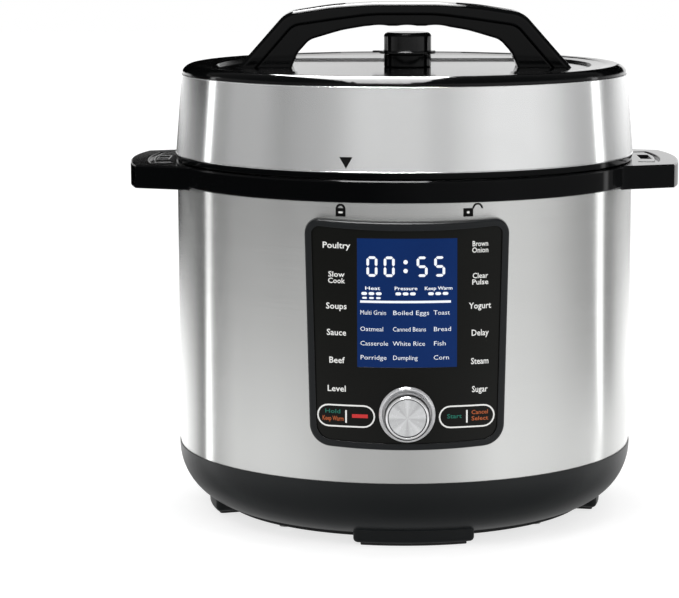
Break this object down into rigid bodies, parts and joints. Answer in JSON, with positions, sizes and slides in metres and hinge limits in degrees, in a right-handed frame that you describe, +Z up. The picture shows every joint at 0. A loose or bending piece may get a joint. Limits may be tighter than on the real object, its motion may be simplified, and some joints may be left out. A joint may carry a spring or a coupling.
{
  "type": "electric pressure cooker",
  "caption": "Electric pressure cooker: a steel drum body with a domed locking lid, arched handle, steam valve, side handles and a front control panel with a display and dial.",
  "frame": {"origin": "on the surface the feet stand on, on the axis of the pot", "axes": "+Z up, -Y out of the control panel, +X along the lid handle and the side handles"},
  "size_m": [0.3348, 0.3148, 0.3103],
  "materials": {
    "brushed_steel": "brushed",
    "pressed_steel": "satin",
    "screw_steel": "zinc plated",
    "cast_aluminium": "cast",
    "spun_aluminium": "radial brushed",
    "bright_plate": "polished",
    "gloss_black": "gloss",
    "satin_black": "satin",
    "base_black": "satin",
    "face_black": "gloss",
    "display_blue": "gloss",
    "display_metal": "satin",
    "board_green": "matt",
    "board_tan": "matt",
    "component_blue": "matt",
    "component_yellow": "matt",
    "component_black": "matt",
    "contact_brass": "bright",
    "silicone": "translucent matt",
    "foot_rubber": "matt",
    "float_steel": "polished",
    "clear_plastic": "clear"
  },
  "bodies": {
    "housing": {"base_tray": "base_black", "foot_pads": "foot_rubber", "bottom_cover": "base_black", "cover_screws": "screw_steel", "outer_shell": "brushed_steel", "collar": "gloss_black", "collar_screws": "screw_steel", "outer_pot": "pressed_steel", "heating_plate": "cast_aluminium", "plate_screws": "screw_steel", "sensor_bridge": "pressed_steel", "sensor_spring": "screw_steel", "power_board": "board_tan", "transformer": "component_yellow", "heater_relay": "component_blue", "capacitors": "component_black", "board_screws": "screw_steel", "mains_inlet": "component_black", "inlet_blades": "contact_brass", "panel_frame": "satin_black", "panel_face": "face_black", "display_window": "display_blue", "display_module": "display_metal", "control_board": "board_green", "encoder_body": "component_black", "dial_ring": "bright_plate", "cup_hood": "satin_black"},
    "sensor": {"sensor_button": "spun_aluminium"},
    "selector_shaft": {"encoder_shaft": "contact_brass"},
    "selector_knob": {"dial_knob": "bright_plate", "dial_cap": "spun_aluminium"},
    "cooking_pot": {"inner_pot": "brushed_steel"},
    "gasket": {"sealing_ring": "silicone"},
    "lid": {"seal_rack": "pressed_steel", "pressure_lid": "pressed_steel", "lid_screws": "screw_steel", "lid_lip": "gloss_black", "lid_band": "brushed_steel", "lid_cover": "gloss_black", "handle_cover": "gloss_black", "handle_grip": "satin_black", "handle_screws": "screw_steel", "valve_seat": "gloss_black", "steam_pipe": "float_steel", "pipe_nut": "screw_steel", "anti_block_shield": "pressed_steel", "float_guide": "float_steel"},
    "steam_valve": {"valve_knob": "gloss_black"},
    "float_valve": {"float_pin": "float_steel", "float_seal": "silicone"},
    "condensation_cup": {"drip_cup": "clear_plastic"}
  },
  "joints": [
    {"name": "pot_lift", "type": "slide", "parent": "housing", "child": "cooking_pot", "axis": [0, 0, 1], "range_m": [0, 0.18]},
    {"name": "lid_lift", "type": "slide", "parent": "cooking_pot", "child": "gasket", "axis": [0, 0, 1], "range_m": [0, 0.175]},
    {"name": "lid_turn", "type": "hinge", "parent": "gasket", "child": "lid", "pos_m": [0, 0, 0.2], "axis": [0, 0, 1], "range_deg": [0, 30]},
    {"name": "valve_turn", "type": "hinge", "parent": "lid", "child": "steam_valve", "pos_m": [0.0019, 0, 0.28], "axis": [0, 0, 1], "range_deg": [0, 45]},
    {"name": "float_rise", "type": "slide", "parent": "lid", "child": "float_valve", "axis": [0, 0, 1], "range_m": [0, 0.004]},
    {"name": "dial_turn", "type": "hinge", "parent": "housing", "child": "selector_shaft", "pos_m": [0, -0.14, 0.0833], "axis": [0, -1, 0], "continuous": true},
    {"name": "dial_push", "type": "slide", "parent": "selector_shaft", "child": "selector_knob", "axis": [0, 1, 0], "range_m": [0, 0.0008], "stiffness_N_per_m": 1500, "springref_m": -0.0005},
    {"name": "sensor_press", "type": "slide", "parent": "housing", "child": "sensor", "axis": [0, 0, -1], "range_m": [0, 0.0015], "stiffness_N_per_m": 800, "springref_m": -0.001, "deforming": ["sensor_spring"]},
    {"name": "cup_slide", "type": "slide", "parent": "housing", "child": "condensation_cup", "axis": [0, 1, 0], "range_m": [0, 0.04]}
  ]
}
